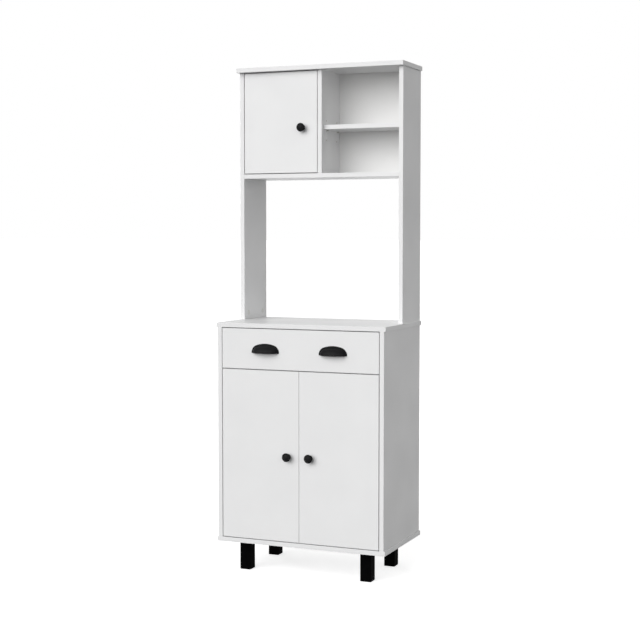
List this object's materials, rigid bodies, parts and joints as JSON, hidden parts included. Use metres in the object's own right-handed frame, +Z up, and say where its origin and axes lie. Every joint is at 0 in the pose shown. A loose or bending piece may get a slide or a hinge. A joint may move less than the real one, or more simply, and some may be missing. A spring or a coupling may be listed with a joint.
{
  "type": "microwave cabinet",
  "caption": "Tall freestanding microwave cabinet: doored base with drawer, countertop, open microwave bay, and a shallow hutch with cupboard and open shelving.",
  "frame": {"origin": "on the floor, midway between the sides and midway between the rear edges and the tips of the drawer pulls", "axes": "+Z up, +Y from the doors towards the back, +X to the right seen from the front"},
  "size_m": [0.6, 0.374, 1.69],
  "materials": {
    "white_board": "satin white melamine on particle board",
    "hardboard": "thin white-faced hardboard",
    "leg_black": "satin black paint",
    "handle_black": "satin black coated zinc casting",
    "plated_steel": "nickel plated",
    "zinc": "bare zinc casting",
    "beech": "plain beech",
    "runner_white": "white epoxy powder coat",
    "nylon": "moulded nylon"
  },
  "bodies": {
    "carcass": {"bottom_board": "white_board", "countertop": "white_board", "base_side_left": "white_board", "base_side_right": "white_board", "base_back_panel": "hardboard", "front_rail": "white_board", "leg_front_left": "leg_black", "leg_front_right": "leg_black", "leg_rear_left": "leg_black", "leg_rear_right": "leg_black", "leg_hanger_bolts": "plated_steel", "leg_insert_nuts": "plated_steel", "hutch_side_left": "white_board", "hutch_side_right": "white_board", "hutch_top": "white_board", "hutch_floor": "white_board", "hutch_divider": "white_board", "hutch_back_panel": "hardboard", "base_shelf": "white_board", "cupboard_shelf": "white_board", "open_shelf": "white_board", "shelf_pins": "plated_steel", "cam_locks": "zinc", "cam_bolts": "plated_steel", "dowels": "beech", "hinge_plates": "plated_steel", "hinge_arms": "plated_steel", "hinge_arm_screws": "plated_steel", "cabinet_runner_left": "runner_white", "cabinet_runner_right": "runner_white", "euro_screws": "plated_steel"},
    "drawer": {"drawer_front": "white_board", "drawer_bottom": "hardboard", "drawer_back": "white_board", "drawer_side_left": "white_board", "cup_pull_left": "handle_black", "drawer_side_right": "white_board", "cup_pull_right": "handle_black", "drawer_cams": "zinc", "drawer_back_screws": "plated_steel", "cup_pull_screws": "plated_steel", "drawer_runner_left": "runner_white", "drawer_runner_right": "runner_white", "drawer_runner_screws": "plated_steel"},
    "upper_door": {"upper_door": "white_board", "upper_door_knob": "handle_black", "upper_door_screws": "plated_steel", "upper_door_hinge_cups": "plated_steel"},
    "lower_left_door": {"lower_left_door": "white_board", "lower_left_door_knob": "handle_black", "lower_left_door_screws": "plated_steel", "lower_left_door_hinge_cups": "plated_steel"},
    "lower_right_door": {"lower_right_door": "white_board", "lower_right_door_knob": "handle_black", "lower_right_door_screws": "plated_steel", "lower_right_door_hinge_cups": "plated_steel"},
    "front_roller_left": {"front_roller_left": "nylon"},
    "front_roller_right": {"front_roller_right": "nylon"},
    "rear_roller_left": {"rear_roller_left": "nylon"},
    "rear_roller_right": {"rear_roller_right": "nylon"}
  },
  "joints": [
    {"name": "drawer_slide", "type": "slide", "parent": "carcass", "child": "drawer", "axis": [0, -1, 0], "range_m": [0, 0.225]},
    {"name": "upper_door_hinge", "type": "hinge", "parent": "carcass", "child": "upper_door", "pos_m": [-0.2675, 0.018, 1.5035], "axis": [0, 0, -1], "range_deg": [0, 95]},
    {"name": "lower_left_door_hinge", "type": "hinge", "parent": "carcass", "child": "lower_left_door", "pos_m": [-0.2675, -0.156, 0.3995], "axis": [0, 0, -1], "range_deg": [0, 95]},
    {"name": "lower_right_door_hinge", "type": "hinge", "parent": "carcass", "child": "lower_right_door", "pos_m": [0.2675, -0.156, 0.3995], "axis": [0, 0, 1], "range_deg": [0, 95]},
    {"name": "front_roller_left_axle", "type": "hinge", "parent": "carcass", "child": "front_roller_left", "pos_m": [-0.275, -0.137, 0.709], "axis": [1, 0, 0], "range_deg": [0, 1490]},
    {"name": "front_roller_right_axle", "type": "hinge", "parent": "carcass", "child": "front_roller_right", "pos_m": [0.275, -0.137, 0.709], "axis": [1, 0, 0], "range_deg": [0, 1490]},
    {"name": "rear_roller_left_axle", "type": "hinge", "parent": "drawer", "child": "rear_roller_left", "pos_m": [-0.2726, 0.14, 0.7022], "axis": [1, 0, 0], "range_deg": [0, 1490]},
    {"name": "rear_roller_right_axle", "type": "hinge", "parent": "drawer", "child": "rear_roller_right", "pos_m": [0.2726, 0.14, 0.7022], "axis": [1, 0, 0], "range_deg": [0, 1490]}
  ],
  "couplings": [
    {"joint": "front_roller_left_axle", "follows": "drawer_slide", "rad_per_m": 114.94},
    {"joint": "front_roller_right_axle", "follows": "drawer_slide", "rad_per_m": 114.94},
    {"joint": "rear_roller_left_axle", "follows": "drawer_slide", "rad_per_m": 114.94},
    {"joint": "rear_roller_right_axle", "follows": "drawer_slide", "rad_per_m": 114.94}
  ]
}
